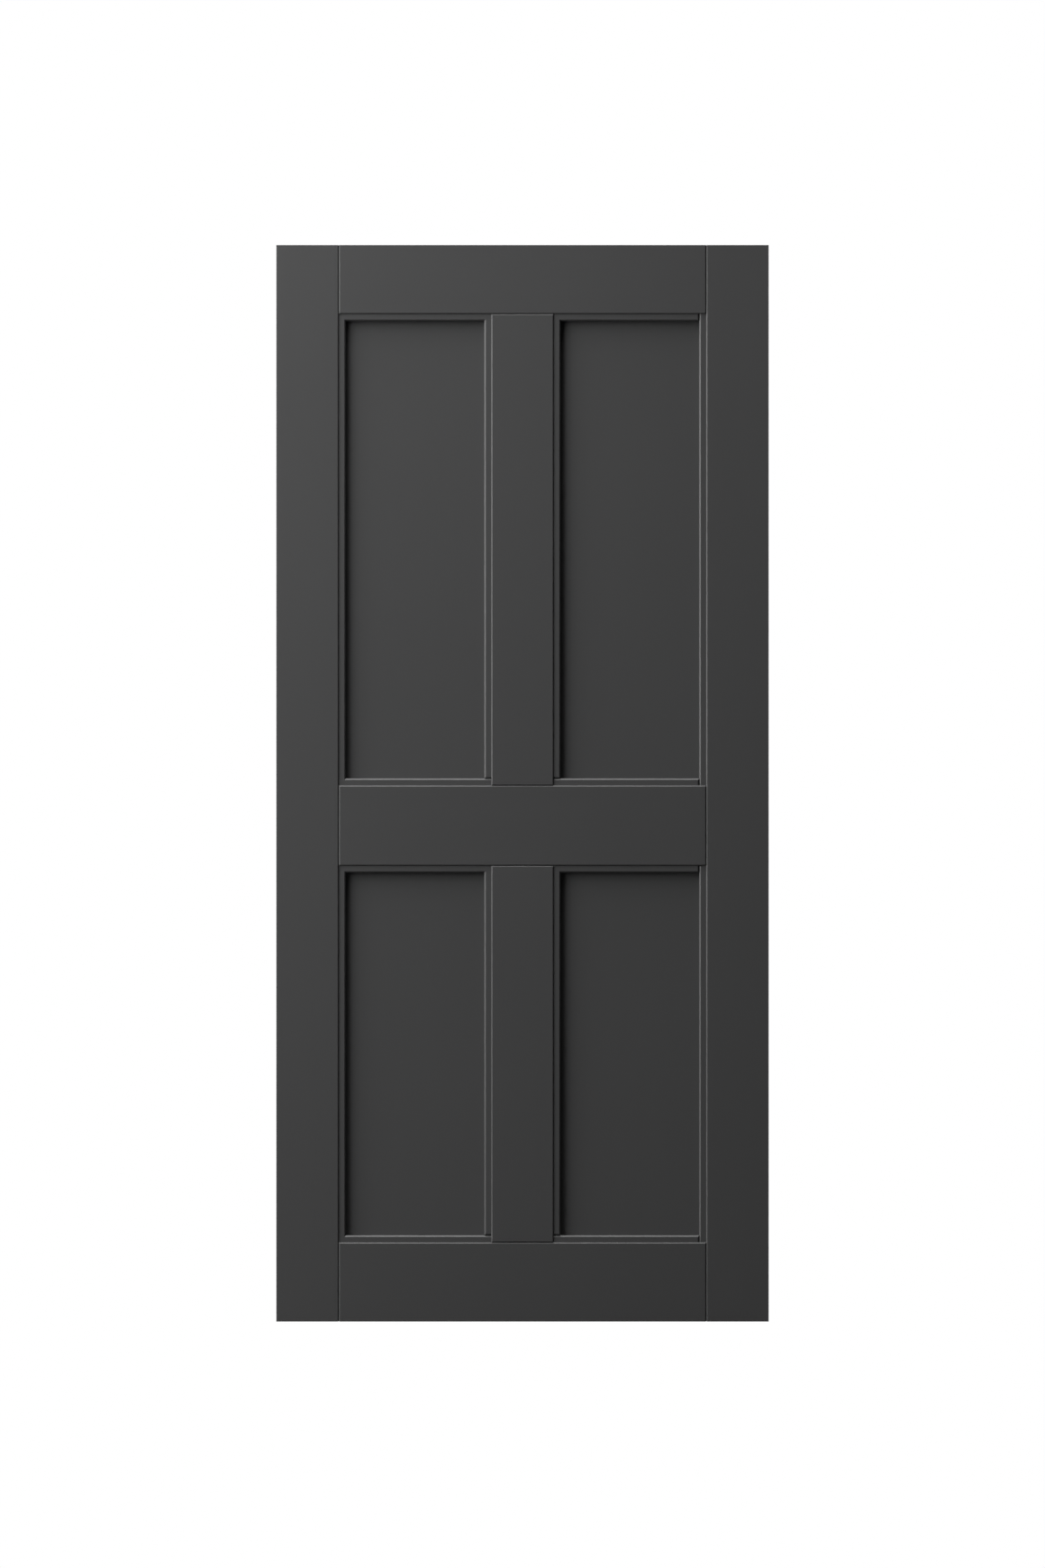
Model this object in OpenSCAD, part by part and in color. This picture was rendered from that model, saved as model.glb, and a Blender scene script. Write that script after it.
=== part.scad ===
// Four-panelled front door leaf.
// Two full-height stiles hold a top rail, a lock rail and a bottom rail, and a muntin stands
// between each pair of rails. Glued dowels hold the shoulders, and stub tongues fill the grooves
// that run along the inner edges. A flat panel floats in the grooves of each of the four
// openings, and four pinned beads frame it on each face.
// X runs across the leaf, Z is up, and the front face looks towards -Y. The origin is at the
// middle of the leaf's foot.

/* [Leaf] */
// Width of the door leaf
leaf_w = 915; // [760:5:1200]
// Height of the door leaf
leaf_h = 2000; // [1600:5:2500]
// Thickness of the stiles, rails and muntins
leaf_t = 44; // [38:1:60]
// Bevel on the face edges of the stiles, rails and muntins inside the leaf
member_bevel = 1.75; // [0.5:0.25:4]
// Bevel on the face edges that run round the outside of the leaf
outer_bevel = 0.5; // [0.25:0.25:4]
// Depth of the notch where a shoulder line crosses the leaf's head or foot
shoulder_notch = 1; // [0.25:0.25:2]

/* [Stiles, rails and muntins] */
// Width of each stile
stile_w = 116; // [90:1:150]
// Width of the muntins
muntin_w = 116; // [90:1:150]
// Height of the top rail
top_rail_h = 128; // [90:1:200]
// Height of the lock rail
lock_rail_h = 149; // [125:1:240]
// Height of the bottom rail
bottom_rail_h = 147; // [105:1:260]
// Height of the two lower openings
lower_opening_h = 700; // [400:5:1100]

/* [Panels and grooves] */
// Thickness of the panels
panel_t = 15; // [14:1:20]
// Clearance on each face of a panel or a tongue in its groove
groove_fit = 0.1; // [0.05:0.05:0.5]
// Depth of the grooves along the inner edges
groove_d = 11; // [8:0.5:14]
// Room between a panel's edge and the bottom of its groove
panel_room = 2; // [1:0.25:3]
// Room between a tongue's end and the bottom of its groove
tongue_room = 0.5; // [0.25:0.25:2]

/* [Beads] */
// Width of the beads
bead_w = 13; // [10:0.5:24]
// Step from a member's face down to the bead's face
bead_step = 2.5; // [1:0.25:6]
// Bevel on a bead's inner edge and on its butted ends
bead_bevel = 2.5; // [0.5:0.25:4]

/* [Dowels] */
// Diameter of the dowels
dowel_d = 12; // [8:1:14]
// Length of the dowels
dowel_l = 120; // [60:5:140]
// Clearance around a dowel
dowel_fit = 0.1; // [0.05:0.05:0.3]
// Room past each end of a dowel
dowel_room = 1; // [0.5:0.5:3]
// Distance from a member's edge to the axis of its nearest dowel
dowel_edge = 35; // [25:1:40]
// Dowels in each end of the top rail and of the muntins
narrow_dowels = 2; // [2:1:3]
// Dowels in each end of the lock rail and of the bottom rail
wide_dowels = 3; // [2:1:4]

/* [Pins] */
// Diameter of a pin's shank
pin_d = 1.6; // [1.2:0.1:2]
// Diameter of a pin's head
pin_head_d = 2.4; // [2.2:0.1:3]
// Length of the pins
pin_l = 30; // [20:1:40]
// Clearance around a pin
pin_fit = 0.05; // [0.05:0.05:0.15]
// Depth of a pin's head below the bead's inner edge
pin_set = 1; // [0.5:0.5:3]
// Distance from a corner of the opening to the nearest pin
pin_end = 50; // [30:5:80]
// Greatest distance between two pins of one bead
pin_pitch = 200; // [100:10:300]

/* [Hidden] */
PAINT = [0.26, 0.26, 0.265];
BEECH = [0.80, 0.65, 0.45];
STEEL = [0.62, 0.62, 0.64];
ROUND = 32; // sides of a dowel or pin where it is drawn as a mesh
PIN_HEAD_T = 0.8; // thickness of a pin's head
PIN_POINT_L = 3; // length of a pin's point
THROUGH = 1; // how far a cutting shape runs past the face that it cuts

rail_l = leaf_w - 2 * stile_w;
opening_w = (rail_l - muntin_w) / 2;
opening_x = (muntin_w + opening_w) / 2;
lock_rail_z = bottom_rail_h + lower_opening_h;
upper_opening_z = lock_rail_z + lock_rail_h;
top_rail_z = leaf_h - top_rail_h;
upper_opening_h = top_rail_z - upper_opening_z;
groove_w = panel_t + 2 * groove_fit;
panel_reach = groove_d - panel_room; // how far a panel enters each groove
tongue_l = groove_d - tongue_room;
bead_face_y = leaf_t / 2 - bead_step;
bead_t = bead_face_y - panel_t / 2;
bead_mid_y = bead_face_y - bead_t / 2;
bead_bevel_fit = min(bead_bevel, bead_t / 2); // a thin bead takes a smaller bevel

// The beads of an opening follow each other round it in the order of SIDES. At each corner
// the first bead or the second runs through to the frame and the other butts against it, or
// the two are mitred. The corners are bottom right, top right, top left and bottom left.
SIDES = ["bottom", "right", "top", "left"];
FACES = ["front", "back"];
MITRE = "mitre";
FIRST = "first runs through";
SECOND = "second runs through";
LEFT_CORNERS = [FIRST, MITRE, MITRE, MITRE];
RIGHT_CORNERS = [SECOND, FIRST, MITRE, SECOND];

// Each opening is its name, the x of its middle, the z of its foot, its height and its corners.
OPENINGS = [
    ["upper_left", -opening_x, upper_opening_z, upper_opening_h, LEFT_CORNERS],
    ["upper_right", opening_x, upper_opening_z, upper_opening_h, RIGHT_CORNERS],
    ["lower_left", -opening_x, bottom_rail_h, lower_opening_h, LEFT_CORNERS],
    ["lower_right", opening_x, bottom_rail_h, lower_opening_h, RIGHT_CORNERS]
];

function panel_node(o) = str(o[0], "_panel");
function bead_node(o, face, i) = str(o[0], "_", face, "_", SIDES[i], "_bead");
function pins_node(o, face) = str(o[0], "_", face, "_pins");

// ---- Members: each is first drawn lying along X, centred on it, with its foot on z = 0 ----

// Cross-section w wide and as thick as the leaf, with bevels of low at -X and of high at +X.
module member_section(w, low, high) {
    x = w / 2;
    y = leaf_t / 2;
    polygon([
        [-x + low, -y], [x - high, -y], [x, -y + high], [x, y - high],
        [x - high, y], [-x + low, y], [-x, y - low], [-x, -y + low]
    ]);
}

// Slab l long and w high, with bevels on both faces along its ends, its foot and its head.
module bevelled_slab(l, w, ends, foot, head) {
    intersection() {
        linear_extrude(w) member_section(l, ends, ends);
        translate([0, 0, w / 2])
            rotate([0, -90, 0])
                linear_extrude(l, center = true) member_section(w, foot, head);
    }
}

// Groove along X whose lower face is at z.
module groove(l, z) {
    translate([-l / 2 - THROUGH, -groove_w / 2, z])
        cube([l + 2 * THROUGH, groove_w, groove_d + THROUGH]);
}

// Member l long and w high, with a tongue on each end and a groove in its foot, its head or both.
// A foot or head with no groove, and ends with no tongue, are on the outside of the leaf.
module member(l, w, tongue = 0, foot_groove = false, head_groove = false) {
    whole_l = l + 2 * tongue;
    ends_bevel = tongue > 0 ? member_bevel : outer_bevel;
    foot_bevel = foot_groove ? member_bevel : outer_bevel;
    head_bevel = head_groove ? member_bevel : outer_bevel;
    difference() {
        union() {
            bevelled_slab(l, w, ends_bevel, foot_bevel, head_bevel);
            if (tongue > 0)
                translate([-whole_l / 2, -panel_t / 2, 0]) cube([whole_l, panel_t, w]);
        }
        if (foot_groove) groove(whole_l, -THROUGH);
        if (head_groove) groove(whole_l, w - groove_d);
    }
}

// The four notches, each square in section and turned to stand on a corner.
module shoulder_notches() {
    side = shoulder_notch * sqrt(2);
    for (x = [-rail_l / 2, rail_l / 2], z = [0, leaf_h])
        translate([x, 0, z])
            rotate([0, 45, 0]) cube([side, leaf_t + 2 * THROUGH, side], center = true);
}

// Stands a member up on z = 0, so that its foot looks right and its head looks left.
module stand_up(l, w) {
    translate([w / 2, 0, l / 2]) rotate([0, -90, 0]) children();
}

// ---- Dowels, or with a fit and room the holes for them ----

// The dowels in both ends of a member l long and w high that lies along X.
module end_dowels(l, w, count, fit = 0, room = 0) {
    pitch = (w - 2 * dowel_edge) / (count - 1);
    for (end = [-1, 1], i = [0 : count - 1])
        translate([end * l / 2, 0, dowel_edge + i * pitch])
            rotate([0, 90, 0])
                cylinder(d = dowel_d + 2 * fit, h = dowel_l + 2 * room, center = true, $fn = ROUND);
}

module rail_dowels(z, h, count, fit = 0, room = 0) {
    translate([0, 0, z]) end_dowels(rail_l, h, count, fit, room);
}

module muntin_dowels(z, l, fit = 0, room = 0) {
    translate([0, 0, z])
        stand_up(l, muntin_w) end_dowels(l, muntin_w, narrow_dowels, fit, room);
}

module top_rail_holes() {
    rail_dowels(top_rail_z, top_rail_h, narrow_dowels, dowel_fit, dowel_room);
}

module lock_rail_holes() {
    rail_dowels(lock_rail_z, lock_rail_h, wide_dowels, dowel_fit, dowel_room);
}

module bottom_rail_holes() {
    rail_dowels(0, bottom_rail_h, wide_dowels, dowel_fit, dowel_room);
}

module upper_muntin_holes() {
    muntin_dowels(upper_opening_z, upper_opening_h, dowel_fit, dowel_room);
}

module lower_muntin_holes() {
    muntin_dowels(bottom_rail_h, lower_opening_h, dowel_fit, dowel_room);
}

// ---- Places around an opening ----

// Length of side i of an opening, and its distance from the opening's centre.
function side_length(o, i) = i % 2 == 0 ? opening_w : o[3];
function side_distance(o, i) = i % 2 == 0 ? o[3] / 2 : opening_w / 2;

// Lays what is drawn along X, with +Z pointing into the opening, along side i.
module on_side(o, i) {
    translate([o[1], 0, o[2] + o[3] / 2])
        rotate([0, -90 * i, 0])
            translate([0, 0, -side_distance(o, i)])
                children();
}

// Turns what is drawn for the front face to the named face.
module on_face(face) {
    mirror([0, face == "back" ? 1 : 0, 0]) children();
}

// ---- Pins, or with a fit the holes for them ----

// Half outline of a pin with the top of its head at y = 0 and its point below.
module pin_outline(fit) {
    head_r = pin_head_d / 2 + fit;
    shank_r = pin_d / 2 + fit;
    head_foot = -PIN_HEAD_T - fit;
    polygon([
        [0, fit], [head_r, fit], [head_r, head_foot], [shank_r, head_foot],
        [shank_r, PIN_POINT_L - pin_l], [0, -pin_l - fit]
    ]);
}

// The pins that hold the front bead of side i.
module side_pins(o, i, fit = 0) {
    span = side_length(o, i) - 2 * pin_end;
    gaps = max(1, ceil(span / pin_pitch));
    on_side(o, i)
        for (k = [0 : gaps])
            translate([k * span / gaps - span / 2, -bead_mid_y, bead_w - pin_set])
                rotate_extrude($fn = ROUND) pin_outline(fit);
}

// Holes on both faces of the member along side i of each of these openings.
module pin_holes(openings, i) {
    for (n = openings, face = FACES) on_face(face) side_pins(OPENINGS[n], i, pin_fit);
}

// ---- Beads: each is first drawn along X, with the frame at z = 0 ----

function bead_end(corner, runs) = corner == MITRE ? "mitred" : corner == runs ? "square" : "butted";
function frame_setback(end) = end == "butted" ? bead_w : 0;
function inner_setback(end) = end == "square" ? 0 : bead_w;

// Cross-section over Y and Z, with its inner front corner bevelled.
module bead_section() {
    polygon([
        [-panel_t / 2, 0], [-bead_face_y, 0], [-bead_face_y, bead_w - bead_bevel_fit],
        [-bead_face_y + bead_bevel_fit, bead_w], [-panel_t / 2, bead_w]
    ]);
}

// Outline over X and Z of a bead that fills a side l long.
module bead_plan(l, start, end) {
    polygon([
        [-l / 2 + frame_setback(start), 0], [l / 2 - frame_setback(end), 0],
        [l / 2 - inner_setback(end), bead_w], [-l / 2 + inner_setback(start), bead_w]
    ]);
}

// Wedge that bevels the front corner of a butted end at x.
module end_bevel(x) {
    run = bead_bevel_fit + THROUGH;
    linear_extrude(bead_w)
        translate([x, -bead_face_y])
            polygon([[-run, -THROUGH], [THROUGH, -THROUGH], [THROUGH, run]]);
}

module bead_blank(l, start, end) {
    difference() {
        intersection() {
            rotate([90, 0, 90]) linear_extrude(l, center = true) bead_section();
            rotate([90, 0, 0]) linear_extrude(bead_face_y) bead_plan(l, start, end);
        }
        if (start == "butted") mirror([1, 0, 0]) end_bevel(l / 2 - bead_w);
        if (end == "butted") end_bevel(l / 2 - bead_w);
    }
}

module bead(o, face, i) {
    corners = o[4];
    color(PAINT)
        on_face(face)
            difference() {
                on_side(o, i)
                    bead_blank(
                        side_length(o, i),
                        bead_end(corners[(i + 3) % 4], SECOND),
                        bead_end(corners[i], FIRST)
                    );
                side_pins(o, i, pin_fit);
            }
}

module pins(o, face) {
    color(STEEL) on_face(face) for (i = [0 : 3]) side_pins(o, i);
}

// ---- Panels ----

module panel(o) {
    color(PAINT)
        translate([o[1] - opening_w / 2 - panel_reach, -panel_t / 2, o[2] - panel_reach])
            cube([opening_w + 2 * panel_reach, panel_t, o[3] + 2 * panel_reach]);
}

// ---- Stiles, rails and muntins in their places ----

module left_stile() {
    color(PAINT)
        difference() {
            translate([(stile_w - leaf_w) / 2, 0, 0])
                stand_up(leaf_h, stile_w) member(leaf_h, stile_w, foot_groove = true);
            top_rail_holes();
            lock_rail_holes();
            bottom_rail_holes();
            pin_holes([0, 2], 3);
            shoulder_notches();
        }
}

module right_stile() {
    color(PAINT)
        difference() {
            translate([(leaf_w - stile_w) / 2, 0, 0])
                stand_up(leaf_h, stile_w) member(leaf_h, stile_w, head_groove = true);
            top_rail_holes();
            lock_rail_holes();
            bottom_rail_holes();
            pin_holes([1, 3], 1);
            shoulder_notches();
        }
}

module top_rail() {
    color(PAINT)
        difference() {
            translate([0, 0, top_rail_z])
                member(rail_l, top_rail_h, tongue_l, foot_groove = true);
            top_rail_holes();
            upper_muntin_holes();
            pin_holes([0, 1], 2);
            shoulder_notches();
        }
}

module lock_rail() {
    color(PAINT)
        difference() {
            translate([0, 0, lock_rail_z])
                member(rail_l, lock_rail_h, tongue_l, foot_groove = true, head_groove = true);
            lock_rail_holes();
            upper_muntin_holes();
            lower_muntin_holes();
            pin_holes([0, 1], 0);
            pin_holes([2, 3], 2);
        }
}

module bottom_rail() {
    color(PAINT)
        difference() {
            member(rail_l, bottom_rail_h, tongue_l, head_groove = true);
            bottom_rail_holes();
            lower_muntin_holes();
            pin_holes([2, 3], 0);
            shoulder_notches();
        }
}

// Muntin l long that stands on z, between the left opening and the right one of that height.
module muntin(z, l, left, right) {
    color(PAINT)
        difference() {
            translate([0, 0, z])
                stand_up(l, muntin_w)
                    member(l, muntin_w, tongue_l, foot_groove = true, head_groove = true);
            muntin_dowels(z, l, dowel_fit, dowel_room);
            pin_holes([left], 1);
            pin_holes([right], 3);
        }
}

module upper_muntin() {
    muntin(upper_opening_z, upper_opening_h, 0, 1);
}

module lower_muntin() {
    muntin(bottom_rail_h, lower_opening_h, 2, 3);
}

// ---- Dowels in their places ----

module top_rail_dowels() {
    color(BEECH) rail_dowels(top_rail_z, top_rail_h, narrow_dowels);
}

module lock_rail_dowels() {
    color(BEECH) rail_dowels(lock_rail_z, lock_rail_h, wide_dowels);
}

module bottom_rail_dowels() {
    color(BEECH) rail_dowels(0, bottom_rail_h, wide_dowels);
}

module upper_muntin_dowels() {
    color(BEECH) muntin_dowels(upper_opening_z, upper_opening_h);
}

module lower_muntin_dowels() {
    color(BEECH) muntin_dowels(bottom_rail_h, lower_opening_h);
}

// ---- Nodes ----

left_stile();
right_stile();
top_rail();
lock_rail();
bottom_rail();
upper_muntin();
lower_muntin();
top_rail_dowels();
lock_rail_dowels();
bottom_rail_dowels();
upper_muntin_dowels();
lower_muntin_dowels();
for (o = OPENINGS) {
    panel(o);
    for (face = FACES) {
        for (i = [0 : 3]) bead(o, face, i);
        pins(o, face);
    }
}
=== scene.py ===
"""Finish, light and frame a painted four-panel front door leaf.

Every stile, rail and muntin stands for its CAD node as a copy whose bevels have softened
corners. The beads are stacked up from outlines, with their pin holes filled and painted over.
Panels, dowels and pins stay as the CAD gives them and take their finishes here. Lengths are in
metres.
"""

import logging
import math
from dataclasses import dataclass, field
from enum import Enum

import bmesh
import bpy
import numpy as np
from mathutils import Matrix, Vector


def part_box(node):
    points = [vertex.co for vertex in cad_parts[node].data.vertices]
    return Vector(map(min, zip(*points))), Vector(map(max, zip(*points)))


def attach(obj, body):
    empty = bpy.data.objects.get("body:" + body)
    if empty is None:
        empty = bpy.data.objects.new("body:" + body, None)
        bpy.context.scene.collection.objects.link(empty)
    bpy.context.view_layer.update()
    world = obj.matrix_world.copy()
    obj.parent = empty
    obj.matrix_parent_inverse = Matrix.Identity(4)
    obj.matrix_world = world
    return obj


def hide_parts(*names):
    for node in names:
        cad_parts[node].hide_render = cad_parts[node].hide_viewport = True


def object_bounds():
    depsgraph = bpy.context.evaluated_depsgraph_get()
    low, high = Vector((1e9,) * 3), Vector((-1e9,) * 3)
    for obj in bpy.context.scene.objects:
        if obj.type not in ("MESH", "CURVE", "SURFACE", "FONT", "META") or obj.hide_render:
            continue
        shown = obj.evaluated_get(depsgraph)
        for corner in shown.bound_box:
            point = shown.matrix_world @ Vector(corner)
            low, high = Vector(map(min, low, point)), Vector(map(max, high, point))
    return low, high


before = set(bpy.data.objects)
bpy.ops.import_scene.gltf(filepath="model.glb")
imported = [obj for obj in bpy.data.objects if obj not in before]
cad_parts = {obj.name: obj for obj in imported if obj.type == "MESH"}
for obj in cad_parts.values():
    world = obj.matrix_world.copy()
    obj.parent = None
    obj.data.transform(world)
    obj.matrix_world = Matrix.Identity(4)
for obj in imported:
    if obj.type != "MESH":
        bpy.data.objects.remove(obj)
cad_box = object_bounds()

OPENINGS = ("upper_left", "upper_right", "lower_left", "lower_right")
FACES = ("front", "back")
WELD = 1e-6  # corners of a CAD node that lie this near to each other are one
FLAT_WITHIN = math.radians(0.5)  # faces that turn by less than this are one
LOG = logging.getLogger("door_leaf")

Triple = tuple[float, float, float]
Colour = Triple
Span = tuple[float, float]


class GrainRun(Enum):
    """The way that the wood's grain runs in a piece, as the axis that it follows."""

    UPRIGHT = 2
    LEVEL = 0

    def stretch(self, along: float, across: float) -> Triple:
        """Scale a pattern on X, Y and Z.

        Args:
            along: the scale along the grain.
            across: the scale on the other two axes.

        Returns:
            The three scales.
        """
        scale = [across, across, across]
        scale[self.value] = along
        return tuple(scale)


class BeadEnd(Enum):
    """How one end of a bead meets its neighbour."""

    MITRED = "mitred"
    SQUARE = "square"
    BUTTED = "butted"


Ends = tuple[BeadEnd, BeadEnd]
Way = tuple[int, int]


# --------------------------------------------------------------------------------------------
# Nodes


class NodeBench:
    """Adds and wires the nodes of one material, world or node group."""

    MIX_SHARE, MIX_FIRST, MIX_SECOND, MIX_RESULT = 0, 6, 7, 2  # a colour Mix node's sockets

    def __init__(self, tree: bpy.types.NodeTree) -> None:
        """Clear the tree and keep it.

        Args:
            tree: the node tree to fill.
        """
        self.tree = tree
        tree.nodes.clear()

    def add(self, kind: str, inputs: dict | None = None, **settings: object) -> bpy.types.Node:
        """Add a node.

        Args:
            kind: the node's type, such as ShaderNodeMath.
            inputs: what each input gets, by the socket's name or number: a value or a socket.
            settings: the node's own properties.

        Returns:
            The node.
        """
        node = self.tree.nodes.new(kind)
        for name, value in settings.items():
            setattr(node, name, value)
        for name, value in (inputs or {}).items():
            self.feed(node.inputs[name], value)
        return node

    def feed(self, socket: bpy.types.NodeSocket, value: object) -> None:
        """Link a socket into another one, or set its value.

        Args:
            socket: the input to feed.
            value: the output to link in, or the value to set.
        """
        if isinstance(value, bpy.types.NodeSocket):
            self.tree.links.new(value, socket)
        else:
            socket.default_value = value

    def maths(self, operation: str, *values: object) -> bpy.types.NodeSocket:
        """Return the result of a Math node on numbers or sockets."""
        node = self.add("ShaderNodeMath", dict(enumerate(values)), operation=operation)
        return node.outputs[0]

    def noise(
        self, vector: bpy.types.NodeSocket, scale: float, detail: float, roughness: float = 0.5
    ) -> bpy.types.NodeSocket:
        """Return a noise value around 0.5 over the vector."""
        inputs = {"Vector": vector, "Scale": scale, "Detail": detail, "Roughness": roughness}
        return self.add("ShaderNodeTexNoise", inputs).outputs[0]

    def stretched(self, scale: Triple) -> bpy.types.NodeSocket:
        """Scale the object's own coordinates.

        Args:
            scale: the scale on X, Y and Z.

        Returns:
            The scaled coordinates.
        """
        place = self.add("ShaderNodeTexCoord").outputs["Object"]
        mapping = self.add("ShaderNodeMapping", {"Vector": place, "Scale": scale})
        return mapping.outputs[0]

    def blend(self, share: object, first: object, second: object) -> bpy.types.NodeSocket:
        """Blend two colours.

        Args:
            share: 0 for the first colour, 1 for the second.
            first: a colour or a socket.
            second: a colour or a socket.

        Returns:
            The blended colour.
        """
        inputs = {self.MIX_SHARE: share, self.MIX_FIRST: first, self.MIX_SECOND: second}
        return self.add("ShaderNodeMix", inputs, data_type="RGBA").outputs[self.MIX_RESULT]

    def ranged(self, value: object, low: float, high: float) -> bpy.types.NodeSocket:
        """Return the value carried from between 0 and 1 to between low and high."""
        inputs = {"Value": value, "To Min": low, "To Max": high}
        return self.add("ShaderNodeMapRange", inputs).outputs[0]

    def bump(
        self, height: object, depth: float, under: object | None = None
    ) -> bpy.types.NodeSocket:
        """Raise bumps on a surface.

        Args:
            height: the bumps' height, from 0 to 1.
            depth: how far a height of 1 stands up.
            under: the normal of a coarser bump that these stand on, or None.

        Returns:
            The normal.
        """
        inputs = {"Strength": 1.0, "Distance": depth, "Height": height}
        if under is not None:
            inputs["Normal"] = under
        return self.add("ShaderNodeBump", inputs).outputs[0]


class NodeGroups:
    """The effects that several finishes share, each built once."""

    def __init__(self) -> None:
        """Start with no groups."""
        self.trees: dict[str, bpy.types.NodeTree] = {}

    def place(self, bench: NodeBench, name: str, inputs: dict) -> bpy.types.NodeSocket:
        """Place a group's node on a bench.

        Args:
            bench: where the node goes.
            name: grain or brushed_film.
            inputs: what each input of the group gets.

        Returns:
            The group's value.
        """
        if name not in self.trees:
            self.trees[name] = getattr(self, name)()
        node = bench.add("ShaderNodeGroup", node_tree=self.trees[name])
        for socket, value in inputs.items():
            bench.feed(node.inputs[socket], value)
        return node.outputs[0]

    def open(
        self, name: str, inputs: dict[str, object], output: str
    ) -> tuple[NodeBench, bpy.types.Node, bpy.types.NodeSocket]:
        """Make a group's tree with its sockets.

        Args:
            name: the tree's name.
            inputs: each input's name and default; None stands for a vector.
            output: the name of the one output, which is a value.

        Returns:
            The bench, the node that holds the inputs and the socket that takes the output.
        """
        tree = bpy.data.node_groups.new(name, "ShaderNodeTree")
        for socket, value in inputs.items():
            kind = "NodeSocketVector" if value is None else "NodeSocketFloat"
            made = tree.interface.new_socket(name=socket, in_out="INPUT", socket_type=kind)
            if value is not None:
                made.default_value = value
        tree.interface.new_socket(name=output, in_out="OUTPUT", socket_type="NodeSocketFloat")
        bench = NodeBench(tree)
        return bench, bench.add("NodeGroupInput"), bench.add("NodeGroupOutput").inputs[output]

    def grain(self) -> bpy.types.NodeTree:
        """Build wood grain: fine fibre streaks over broad, wandering growth bands, 0 to 1.

        Returns:
            The group's tree.
        """
        inputs = {"Vector": None, "Wander": 0.6, "Bands": 0.5}
        bench, given, result = self.open("wood_grain", inputs, "Grain")
        place = given.outputs["Vector"]
        drift = bench.noise(place, scale=0.35, detail=2.0)
        push = bench.maths("MULTIPLY", drift, given.outputs["Wander"])
        shift = bench.add("ShaderNodeVectorMath", {0: place, 1: push}, operation="ADD")
        moved = shift.outputs[0]
        bands = bench.noise(moved, scale=1.0, detail=3.0, roughness=0.55)
        fibres = bench.noise(moved, scale=7.0, detail=4.0, roughness=0.65)
        mixed = bench.add(
            "ShaderNodeMix", {0: given.outputs["Bands"], 2: fibres, 3: bands}, data_type="FLOAT"
        )
        bench.feed(result, mixed.outputs[0])
        return bench.tree

    def brushed_film(self) -> bpy.types.NodeTree:
        """Build a brushed coat's skin: long brush drags over a fine stipple, as a height.

        Returns:
            The group's tree.
        """
        inputs = {"Drags": None, "Skin": None, "Stipple": 0.5}
        bench, given, result = self.open("brushed_film", inputs, "Height")
        drags = bench.noise(given.outputs["Drags"], scale=1.0, detail=3.0, roughness=0.6)
        skin = bench.noise(given.outputs["Skin"], scale=1.0, detail=2.0)
        mixed = bench.add(
            "ShaderNodeMix", {0: given.outputs["Stipple"], 2: drags, 3: skin}, data_type="FLOAT"
        )
        bench.feed(result, mixed.outputs[0])
        return bench.tree


GROUPS = NodeGroups()


# --------------------------------------------------------------------------------------------
# Finishes


def new_material(name: str) -> tuple[bpy.types.Material, NodeBench]:
    """Make an empty material.

    Args:
        name: the material's name.

    Returns:
        The material and the bench on its tree.
    """
    material = bpy.data.materials.new(name)
    material.use_nodes = True
    return material, NodeBench(material.node_tree)


def principled(bench: NodeBench, inputs: dict) -> None:
    """Add a Principled shader with these inputs and lead it to the material's output."""
    shader = bench.add("ShaderNodeBsdfPrincipled", inputs)
    bench.add("ShaderNodeOutputMaterial", {"Surface": shader.outputs[0]})


def opaque(colour: Colour) -> tuple[float, float, float, float]:
    """Return the colour with a full alpha."""
    return colour + (1.0,)


@dataclass(frozen=True)
class SatinPaint:
    """A brushed satin paint on wood, through which the grain shows very faintly."""

    colour: Colour = (0.0565, 0.0565, 0.057)
    roughness: Span = (0.36, 0.48)
    tone_spread: float = 0.07
    cloud_scale: float = 2.2
    cloud_detail: float = 3.0
    cloud_share: float = 0.6
    grain_depth: float = 0.00006
    grain_pitch: float = 0.030
    grain_stretch: float = 14.0
    film_depth: float = 0.00004
    drag_pitch: float = 0.0025
    drag_stretch: float = 56.0
    stipple_pitch: float = 0.0016

    def material(self, name: str, run: GrainRun) -> bpy.types.Material:
        """Build the material, whose tone drifts over broad clouds and with the grain.

        Args:
            name: the material's name.
            run: the way that the grain and the brush went.

        Returns:
            The material.
        """
        material, bench = new_material(name)
        across = 1.0 / self.grain_pitch
        grain = GROUPS.place(bench, "grain", {
            "Vector": bench.stretched(run.stretch(across / self.grain_stretch, across)),
        })
        drag = 1.0 / self.drag_pitch
        film = GROUPS.place(bench, "brushed_film", {
            "Drags": bench.stretched(run.stretch(drag / self.drag_stretch, drag)),
            "Skin": bench.stretched((1.0 / self.stipple_pitch,) * 3),
        })
        cloud = bench.noise(bench.stretched((1.0,) * 3), self.cloud_scale, self.cloud_detail)
        grain_tone = bench.maths("MULTIPLY", grain, 1.0 - self.cloud_share)
        tone = bench.maths("MULTIPLY_ADD", cloud, self.cloud_share, grain_tone)
        low, high = (
            opaque(tuple(c * (1 + side * self.tone_spread) for c in self.colour))
            for side in (-1, 1)
        )
        principled(bench, {
            "Base Color": bench.blend(tone, low, high),
            "Roughness": bench.ranged(film, *self.roughness),
            "Normal": bench.bump(film, self.film_depth, bench.bump(grain, self.grain_depth)),
        })
        return material


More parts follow.
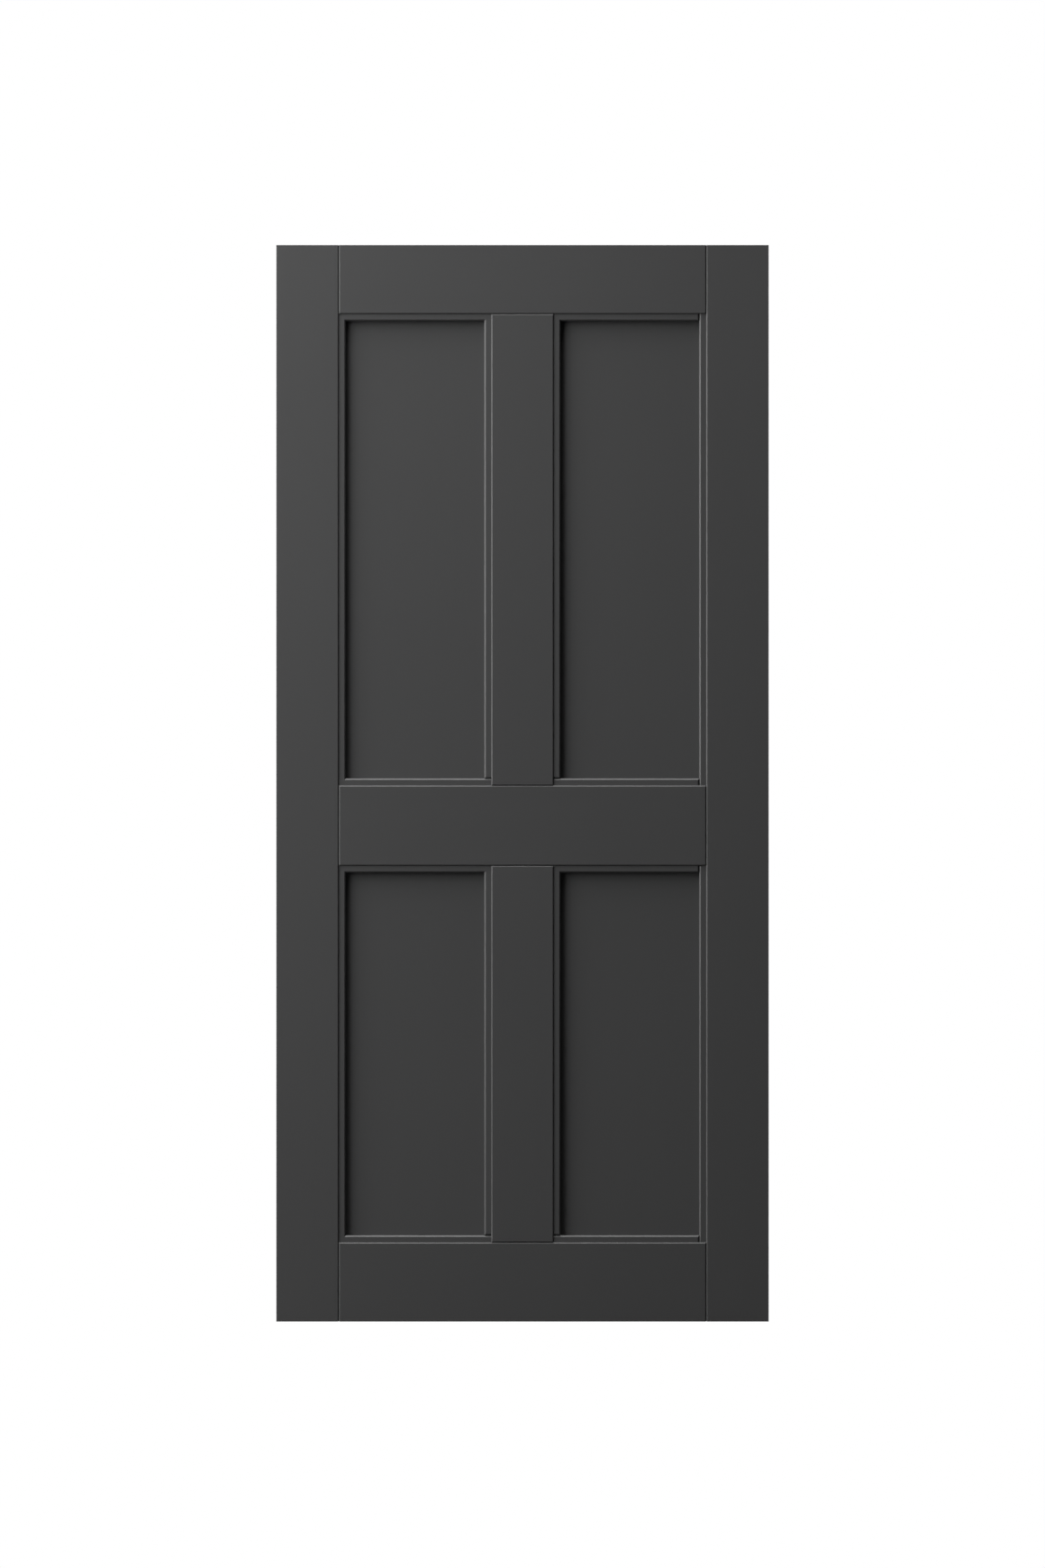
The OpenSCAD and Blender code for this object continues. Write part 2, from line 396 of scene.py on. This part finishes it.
@dataclass(frozen=True)
class TurnedBeech:
    """Bare beech, as the dowels are: pale pink-brown with short dark flecks along the grain."""

    pale: Colour = (0.60, 0.40, 0.24)
    dark: Colour = (0.36, 0.21, 0.11)
    fleck: Colour = (0.22, 0.11, 0.05)
    roughness: Span = (0.52, 0.70)
    band_share: float = 0.6
    band_pitch: float = 0.0035
    band_stretch: float = 12.0
    fleck_pitch: float = 0.0010
    fleck_stretch: float = 5.0
    fleck_level: float = 0.62
    depth: float = 0.00008

    def material(self, name: str, run: GrainRun) -> bpy.types.Material:
        """Build the material, which has a fleck wherever its noise passes the fleck level.

        Args:
            name: the material's name.
            run: the way that the grain runs.

        Returns:
            The material.
        """
        material, bench = new_material(name)
        across = 1.0 / self.band_pitch
        grain = GROUPS.place(bench, "grain", {
            "Vector": bench.stretched(run.stretch(across / self.band_stretch, across)),
            "Bands": self.band_share,
        })
        spot = 1.0 / self.fleck_pitch
        place = bench.stretched(run.stretch(spot / self.fleck_stretch, spot))
        spots = bench.noise(place, scale=1.0, detail=1.0)
        mask = bench.maths("GREATER_THAN", spots, self.fleck_level)
        wood = bench.blend(grain, opaque(self.dark), opaque(self.pale))
        principled(bench, {
            "Base Color": bench.blend(mask, wood, opaque(self.fleck)),
            "Roughness": bench.ranged(grain, *self.roughness),
            "Normal": bench.bump(grain, self.depth),
        })
        return material


@dataclass(frozen=True)
class DrawnSteel:
    """Bright drawn wire, as the pins are, with fine streaks in it."""

    bright: Colour = (0.56, 0.56, 0.58)
    dull: Colour = (0.40, 0.40, 0.42)
    roughness: Span = (0.22, 0.45)
    streak_pitch: float = 0.0004
    streak_stretch: float = 20.0
    depth: float = 0.00001

    def material(self, name: str, run: GrainRun) -> bpy.types.Material:
        """Build the material.

        Args:
            name: the material's name.
            run: the way that the streaks run.

        Returns:
            The material.
        """
        material, bench = new_material(name)
        streak = 1.0 / self.streak_pitch
        place = bench.stretched(run.stretch(streak / self.streak_stretch, streak))
        streaks = bench.noise(place, scale=1.0, detail=3.0)
        principled(bench, {
            "Base Color": bench.blend(streaks, opaque(self.dull), opaque(self.bright)),
            "Metallic": 1.0,
            "Roughness": bench.ranged(streaks, *self.roughness),
            "Normal": bench.bump(streaks, self.depth),
        })
        return material


# --------------------------------------------------------------------------------------------
# Shapes


def edge_normals(mesh: bpy.types.Mesh) -> tuple[np.ndarray, np.ndarray]:
    """Find the normals of the two faces at each edge of a closed mesh.

    Each corner of a face names one edge. Sorted by edge, the corners come in pairs, and the
    faces that they belong to are the edge's two faces.

    Args:
        mesh: the closed mesh.

    Returns:
        The normals of each edge's first and second face, as two n by 3 arrays.
    """
    sides = np.empty(len(mesh.polygons), dtype=np.int32)
    mesh.polygons.foreach_get("loop_total", sides)
    normals = np.empty(len(mesh.polygons) * 3, dtype=np.float32)
    mesh.polygons.foreach_get("normal", normals)
    edges = np.empty(len(mesh.loops), dtype=np.int32)
    mesh.loops.foreach_get("edge_index", edges)
    faces = np.repeat(np.arange(len(sides)), sides)[np.argsort(edges, kind="stable")]
    normals = normals.reshape(-1, 3)
    return normals[faces[0::2]], normals[faces[1::2]]


def edge_middles(mesh: bpy.types.Mesh) -> np.ndarray:
    """Find the middle of each edge of a mesh.

    Args:
        mesh: the mesh.

    Returns:
        The middles, as an n by 3 array.
    """
    spots = np.empty(len(mesh.vertices) * 3)
    mesh.vertices.foreach_get("co", spots)
    ends = np.empty(len(mesh.edges) * 2, dtype=np.int32)
    mesh.edges.foreach_get("vertices", ends)
    return spots.reshape(-1, 3)[ends.reshape(-1, 2)].mean(axis=1)


def rounded(corners: np.ndarray, radius: float, steps: int) -> np.ndarray:
    """Round the inner corners of an open outline.

    Each corner gives way to a parabola arc that touches both of its legs at one distance from
    it: with s from 0 to 1, a point is (1-s)^2 of the first touch, 2s(1-s) of the corner and
    s^2 of the second touch.

    Args:
        corners: n by 2, the outline's points, whose first and last stay.
        radius: the distance from a corner to where its arc starts.
        steps: the number of straight pieces in an arc.

    Returns:
        The rounded outline, m by 2.
    """
    legs = np.diff(corners, axis=0)
    legs /= np.linalg.norm(legs, axis=1, keepdims=True)
    middle = corners[1:-1]
    first, second = middle - radius * legs[:-1], middle + radius * legs[1:]
    s = np.linspace(0.0, 1.0, steps + 1)[None, :, None]
    arcs = (1 - s) ** 2 * first[:, None] + 2 * s * (1 - s) * middle[:, None]
    arcs = arcs + s**2 * second[:, None]
    return np.concatenate([corners[:1], arcs.reshape(-1, 2), corners[-1:]])


def stacked(name: str, outlines: np.ndarray, outward: bool) -> bpy.types.Mesh:
    """Skin a stack of outlines into a closed mesh.

    Vertex k of outline j joins vertex k of outline j + 1 and the next vertex round, and the
    first and the last outline are closed as flat faces.

    Args:
        name: the mesh's name.
        outlines: levels by corners by 3.
        outward: whether the corners run so that the faces already point outwards.

    Returns:
        The mesh.
    """
    levels, corners, _ = outlines.shape
    ring = np.arange(corners)
    low = (np.arange(levels - 1)[:, None] * corners + ring).ravel()
    turn = (np.arange(levels - 1)[:, None] * corners + np.roll(ring, -1)).ravel()
    sides = np.stack([low, turn, turn + corners, low + corners], axis=1)
    faces = np.concatenate([sides, [ring[::-1]], [ring + (levels - 1) * corners]])
    if not outward:
        faces = faces[:, ::-1]
    mesh = bpy.data.meshes.new(name)
    mesh.from_pydata(outlines.reshape(-1, 3), [], faces.tolist())
    return mesh


@dataclass
class Arris:
    """The softening of the sharp corners between a board's faces and its bevels."""

    radius: float = 0.0005
    steps: int = 4
    rim: float = 0.0008
    tolerance: float = 0.02

    def soften(self, piece: bpy.types.Object) -> None:
        """Round the corners of a board's bevels inside the leaf.

        An edge is a bevel's corner where its two faces turn by 45 degrees and one of them
        slopes at 45 degrees to the leaf's face: then the size of one normal's Y is near
        0.707, and the other's is near 1 or 0. Every other sharp edge stays crisp, and so do
        the small bevels round the outside of the leaf, which lie within the rim.

        Args:
            piece: the board's object.
        """
        first, second = edge_normals(piece.data)
        cosine = np.einsum("ij,ij->i", first, second)
        less, more = np.sort(np.abs(np.stack([first[:, 1], second[:, 1]])), axis=0)
        slope = math.sqrt(0.5)
        bend = self.near(cosine, slope)
        face_side = self.near(less, slope) & self.near(more, 1)
        edge_side = self.near(less, 0) & self.near(more, slope)
        low, high = (np.array(corner)[[0, 2]] for corner in cad_box)
        middles = edge_middles(piece.data)[:, [0, 2]]
        inset = np.minimum(np.abs(middles - low), np.abs(middles - high)).min(axis=1)
        softened = bend & (face_side | edge_side) & (inset > self.rim)
        weights = piece.data.attributes.new("bevel_weight_edge", "FLOAT", "EDGE")
        weights.data.foreach_set("value", softened.astype(np.float32))
        rounding = piece.modifiers.new("arris", "BEVEL")
        rounding.limit_method = "WEIGHT"
        rounding.width = self.radius
        rounding.segments = self.steps
        LOG.info("%s: %d corners softened", piece.name, int(softened.sum()))

    def near(self, values: np.ndarray, goal: float) -> np.ndarray:
        """Return whether each value is the goal, within the tolerance."""
        return np.isclose(values, goal, atol=self.tolerance)


def merged_copy(node: bpy.types.Object, name: str) -> bpy.types.Mesh:
    """Copy a node's shape, with its loose triangles joined into flat faces.

    The node's stored normals belong to its old triangles, so they are dropped.

    Args:
        node: the CAD node.
        name: the new mesh's name.

    Returns:
        The new mesh.
    """
    shape = bmesh.new()
    shape.from_mesh(node.data)
    bmesh.ops.remove_doubles(shape, verts=shape.verts, dist=WELD)
    bmesh.ops.dissolve_limit(
        shape, angle_limit=FLAT_WITHIN, verts=shape.verts, edges=shape.edges
    )
    mesh = bpy.data.meshes.new(name)
    shape.to_mesh(mesh)
    shape.free()
    mesh.attributes.remove(mesh.attributes["custom_normal"])
    mesh.shade_flat()
    return mesh


def add_object(mesh: bpy.types.Mesh) -> bpy.types.Object:
    """Put a mesh in the scene, at the origin.

    Args:
        mesh: the mesh.

    Returns:
        Its object, which has the mesh's name.
    """
    piece = bpy.data.objects.new(mesh.name, mesh)
    bpy.context.scene.collection.objects.link(piece)
    return piece


def give_finish(node: bpy.types.Object, material: bpy.types.Material) -> None:
    """Give a CAD node a finish.

    Args:
        node: the CAD node.
        material: what each of its material slots gets.
    """
    for slot in node.material_slots:
        slot.material = material
    LOG.info("%s: %s", node.name, material.name)


# --------------------------------------------------------------------------------------------
# The leaf


@dataclass
class Workshop:
    """The finishes that the leaf's pieces share."""

    paint: SatinPaint = field(default_factory=SatinPaint)
    beech: TurnedBeech = field(default_factory=TurnedBeech)
    steel: DrawnSteel = field(default_factory=DrawnSteel)
    made: dict[str, bpy.types.Material] = field(default_factory=dict)

    def finish(self, kind: str, run: GrainRun) -> bpy.types.Material:
        """Find a finish, which is built the first time.

        Args:
            kind: paint, beech or steel.
            run: the way that its grain runs.

        Returns:
            The finish's material.
        """
        name = f"{kind}_{run.name.lower()}"
        if name not in self.made:
            self.made[name] = getattr(self, kind).material(name, run)
        return self.made[name]


def dressed(mesh: bpy.types.Mesh, node: str) -> bpy.types.Object:
    """Put a mesh in the scene to stand for a CAD node.

    Args:
        mesh: the mesh.
        node: the CAD node's name.

    Returns:
        The mesh's object.
    """
    piece = add_object(mesh)
    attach(piece, "root")
    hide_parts(node)
    LOG.info("%s: stands for %s", piece.name, node)
    return piece


@dataclass
class Boards:
    """The two stiles, three rails and two muntins."""

    shop: Workshop
    arris: Arris = field(default_factory=Arris)
    upright: tuple[str, ...] = ("left_stile", "right_stile", "upper_muntin", "lower_muntin")
    level: tuple[str, ...] = ("top_rail", "lock_rail", "bottom_rail")

    def build(self) -> None:
        """Make and paint every board."""
        for names, run in ((self.upright, GrainRun.UPRIGHT), (self.level, GrainRun.LEVEL)):
            for name in names:
                self.board(name, run)

    def board(self, node: str, run: GrainRun) -> None:
        """Stand a softened, painted copy for one node.

        Args:
            node: the CAD node's name.
            run: the way that its grain runs.
        """
        mesh = merged_copy(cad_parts[node], f"{node}_painted")
        piece = dressed(mesh, node)
        mesh.materials.append(self.shop.finish("paint", run))
        self.arris.soften(piece)


@dataclass
class Panels:
    """The four flat panels in their grooves."""

    shop: Workshop

    def build(self) -> None:
        """Paint the panels' nodes."""
        paint = self.shop.finish("paint", GrainRun.UPRIGHT)
        for opening in OPENINGS:
            give_finish(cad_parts[f"{opening}_panel"], paint)


@dataclass
class Beads:
    """The beads round each opening on both faces, with their pin holes filled and painted.

    The four beads of an opening run round it in the order of the ways, and the ends say how
    each of them starts and ends.
    """

    shop: Workshop
    bevel: float = 0.0025
    soft: float = 0.0005
    steps: int = 4
    left_ends: tuple[Ends, ...] = (
        (BeadEnd.MITRED, BeadEnd.SQUARE), (BeadEnd.BUTTED, BeadEnd.MITRED),
        (BeadEnd.MITRED, BeadEnd.MITRED), (BeadEnd.MITRED, BeadEnd.MITRED),
    )
    right_ends: tuple[Ends, ...] = (
        (BeadEnd.SQUARE, BeadEnd.BUTTED), (BeadEnd.SQUARE, BeadEnd.SQUARE),
        (BeadEnd.BUTTED, BeadEnd.MITRED), (BeadEnd.MITRED, BeadEnd.BUTTED),
    )
    ways: tuple[tuple[str, Way], ...] = (
        ("bottom", (1, 0)), ("right", (0, 1)), ("top", (-1, 0)), ("left", (0, -1)),
    )

    def build(self) -> None:
        """Make and paint every bead."""
        for opening in OPENINGS:
            ends = self.left_ends if opening.endswith("left") else self.right_ends
            for face in FACES:
                for (side, way), pair in zip(self.ways, ends):
                    self.bead(f"{opening}_{face}_{side}_bead", face == "front", way, pair)

    def bead(self, node: str, front: bool, way: Way, ends: Ends) -> None:
        """Stand a painted bead for one node.

        Args:
            node: the CAD node's name.
            front: whether it is on the front face.
            way: the direction over X and Z in which it runs round its opening.
            ends: how it starts and how it ends.
        """
        mesh = stacked(f"{node}_painted", self.outlines(node, front, way, ends), front)
        dressed(mesh, node)
        run = GrainRun.LEVEL if way[0] else GrainRun.UPRIGHT
        mesh.materials.append(self.shop.finish("paint", run))

    def outlines(self, node: str, front: bool, way: Way, ends: Ends) -> np.ndarray:
        """Draw a bead's outline at each depth from its back to its face.

        Seen from the front, the outline has four corners: two on the side against the board,
        and two on the inner side. With q the bevel's inset at that depth and w the width, the
        inner side stands at w - q. A mitred end keeps to the line at 45 degrees, so that its
        inner corner lies w - q in from its outer one. A butted end steps back by q, and a
        square one stays.

        Args:
            node: the CAD node's name.
            front: whether it is on the front face.
            way: the direction over X and Z in which it runs round its opening.
            ends: how it starts and how it ends.

        Returns:
            The outlines: depths by corners by 3.
        """
        low, high = (np.array(corner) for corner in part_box(node))
        along = np.array([way[0], 0.0, way[1]])
        inward = np.array([-way[1], 0.0, way[0]])
        outward = np.array([0.0, -1.0 if front else 1.0, 0.0])
        start = np.where(along + inward + outward > 0, low, high)
        length, width, depth = (abs((high - low) @ axis) for axis in (along, inward, outward))
        inset, height = rounded(np.array([
            [0.0, 0.0], [0.0, depth - self.bevel], [self.bevel, depth], [width / 2, depth],
        ]), self.soft, self.steps)[:-1].T
        inner, none = width - inset, np.zeros_like(inset)
        set_back = {
            BeadEnd.MITRED: (none, inner),
            BeadEnd.SQUARE: (none, none),
            BeadEnd.BUTTED: (inset, inset),
        }
        (first_out, first_in), (last_out, last_in) = (set_back[end] for end in ends)
        runs = np.stack([first_out, length - last_out, length - last_in, first_in], axis=1)
        rises = np.stack([none, none, inner, inner], axis=1)
        spots = start + runs[..., None] * along + rises[..., None] * inward
        return spots + height[:, None, None] * outward


@dataclass
class Joinery:
    """The dowels in the shoulders and the pins through the beads, which all stay hidden."""

    shop: Workshop
    level_dowels: tuple[str, ...] = ("top_rail", "lock_rail", "bottom_rail")
    upright_dowels: tuple[str, ...] = ("upper_muntin", "lower_muntin")

    def build(self) -> None:
        """Finish the dowels' and the pins' nodes."""
        for names, run in (
            (self.level_dowels, GrainRun.LEVEL), (self.upright_dowels, GrainRun.UPRIGHT)
        ):
            for name in names:
                give_finish(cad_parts[f"{name}_dowels"], self.shop.finish("beech", run))
        steel = self.shop.finish("steel", GrainRun.LEVEL)
        for opening in OPENINGS:
            for face in FACES:
                give_finish(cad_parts[f"{opening}_{face}_pins"], steel)


# --------------------------------------------------------------------------------------------
# The studio


@dataclass(frozen=True)
class SoftBox:
    """A soft light: where it stands, what it faces, its width, its height and its power."""

    name: str
    place: Triple
    aim: Triple
    width: float
    height: float
    watts: float

    def build(self) -> None:
        """Add the light."""
        lamp = bpy.data.lights.new(self.name, "AREA")
        lamp.shape = "RECTANGLE"
        lamp.size, lamp.size_y = self.width, self.height
        lamp.energy = self.watts
        light = bpy.data.objects.new(self.name, lamp)
        light.location = self.place
        away = Vector(self.place) - Vector(self.aim)
        light.rotation_euler = away.to_track_quat("Z", "Y").to_euler()
        bpy.context.scene.collection.objects.link(light)
        LOG.info("%s: %.0f W", self.name, self.watts)


@dataclass
class Studio:
    """The pale floor, the white surround, the soft lights and the camera."""

    floor_half: float = 70.0
    floor_tone: float = 0.16
    floor_glow: float = 0.66
    floor_bounce: float = 0.04
    grazing: Span = (0.85, 0.94)
    ambient: float = 0.014
    lens: float = 300.0
    sensor: float = 36.0
    clip: Span = (0.5, 200.0)
    frame_height: float = 2.9128
    eye_height: float = 0.9987
    lights: tuple[SoftBox, ...] = (
        SoftBox("key", (-3.20, -1.24, 2.71), (-1.14, 0.0, 0.11), 4.0, 6.9, 507.0),
        SoftBox("overhead", (0.0, -0.8, 8.0), (0.0, 0.0, 1.0), 2.5, 2.5, 210.0),
        SoftBox("back_right", (4.2, 2.3, 2.7), (0.0, 0.0, 1.0), 3.0, 3.0, 360.0),
        SoftBox("back_left", (-3.2, 4.2, 3.4), (0.0, 0.0, 1.0), 3.0, 3.0, 230.0),
    )

    def build(self) -> None:
        """Add the floor, the surround, the lights and the camera."""
        self.floor()
        self.surround()
        for light in self.lights:
            light.build()
        self.camera()

    def floor(self) -> None:
        """Lay a square floor, which the camera sees pale, and white at grazing angles.

        The glow is for the camera only, and the light that the floor gives back to the leaf
        comes from the darker bounce tone. The white at grazing angles is a painted reflection: an
        emission that stands in for the floor's sheen mirroring the white surround.
        """
        ends = np.array([-self.floor_half, self.floor_half])
        across, along = np.meshgrid(ends, ends)
        spots = np.stack([across, along, np.zeros_like(across)], axis=-1).reshape(-1, 3)
        mesh = bpy.data.meshes.new("floor")
        mesh.from_pydata(spots, [], [[0, 1, 3, 2]])
        material, bench = new_material("pale_floor")
        seen = bench.add("ShaderNodeLightPath").outputs["Is Camera Ray"]
        bounce, pale = (opaque((tone,) * 3) for tone in (self.floor_bounce, self.floor_tone))
        plain = bench.add("ShaderNodeBsdfDiffuse", {"Color": bench.blend(seen, bounce, pale)})
        glow = bench.add("ShaderNodeEmission", {
            "Strength": bench.maths("MULTIPLY", seen, self.floor_glow),
        })
        even = bench.add("ShaderNodeAddShader", {0: plain.outputs[0], 1: glow.outputs[0]})
        # painted reflection: a white emission that stands in for the floor's sheen, taking over at
        # grazing angles
        white = bench.add("ShaderNodeEmission", {"Strength": 1.0})
        painted_sheen = bench.add("ShaderNodeMapRange", {
            "Value": bench.add("ShaderNodeLayerWeight").outputs["Facing"],
            "From Min": self.grazing[0], "From Max": self.grazing[1],
        })
        share = bench.maths("MULTIPLY", painted_sheen.outputs[0], seen)
        mixed = bench.add(
            "ShaderNodeMixShader", {0: share, 1: even.outputs[0], 2: white.outputs[0]}
        )
        bench.add("ShaderNodeOutputMaterial", {"Surface": mixed.outputs[0]})
        mesh.materials.append(material)
        add_object(mesh)

    def surround(self) -> None:
        """Show the camera plain white, and give the leaf a dim, even light."""
        world = bpy.data.worlds.new("studio")
        bpy.context.scene.world = world
        world.use_nodes = True
        bench = NodeBench(world.node_tree)
        seen = bench.add("ShaderNodeLightPath").outputs["Is Camera Ray"]
        white = bench.add("ShaderNodeBackground", {"Color": (1.0,) * 4, "Strength": 1.0})
        dim = bench.add("ShaderNodeBackground", {"Color": (1.0,) * 4, "Strength": self.ambient})
        mixed = bench.add("ShaderNodeMixShader", {0: seen, 1: dim.outputs[0], 2: white.outputs[0]})
        bench.add("ShaderNodeOutputWorld", {"Surface": mixed.outputs[0]})

    def camera(self) -> None:
        """Look straight at the leaf's front from far away.

        Its distance is the height that the frame takes in at the leaf's front, times the lens
        over the sensor's longer side, which stands upright in a tall frame.
        """
        low, high = cad_box
        data = bpy.data.cameras.new("camera")
        data.lens, data.sensor_width = self.lens, self.sensor
        data.clip_start, data.clip_end = self.clip
        camera = bpy.data.objects.new("camera", data)
        distance = self.frame_height * self.lens / self.sensor
        camera.location = ((low.x + high.x) / 2, low.y - distance, self.eye_height)
        camera.rotation_euler = (math.radians(90), 0.0, 0.0)
        bpy.context.scene.collection.objects.link(camera)
        bpy.context.scene.camera = camera


def main() -> None:
    """Build the leaf's pieces and the studio."""
    logging.basicConfig(level=logging.INFO, format="%(message)s")
    shop = Workshop()
    Boards(shop).build()
    Panels(shop).build()
    Beads(shop).build()
    Joinery(shop).build()
    Studio().build()
    bpy.context.scene.view_settings.view_transform = "Standard"


if __name__ == "__main__":
    main()
